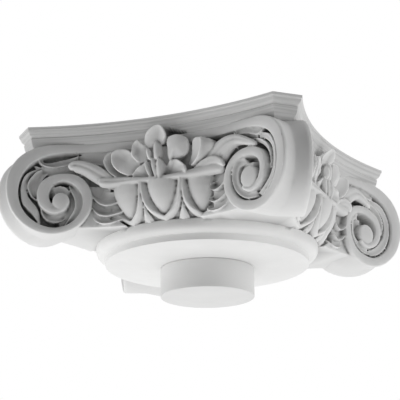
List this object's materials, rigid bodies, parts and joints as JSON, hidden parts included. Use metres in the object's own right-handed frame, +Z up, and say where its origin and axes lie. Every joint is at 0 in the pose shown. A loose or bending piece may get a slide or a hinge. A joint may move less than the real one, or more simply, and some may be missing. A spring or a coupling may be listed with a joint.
{
  "type": "angular ionic column capital",
  "caption": "Square concave-sided abacus over four diagonal volutes, egg-and-dart echinus, flowers and leaves, with a round necking ring and a short round plug below.",
  "frame": {"origin": "centre of the plug's underside, the lowest point of the part", "axes": "+Z up along the column's axis; +X and -Y face two of the four equal faces"},
  "size_m": [0.3264, 0.327, 0.1517],
  "materials": {
    "capital_white": "matte white primer over moulded high-density foam",
    "plug_white": "matte white primer over moulded high-density foam"
  },
  "bodies": {
    "root": {"capital": "capital_white", "plug": "plug_white"}
  },
  "joints": []
}
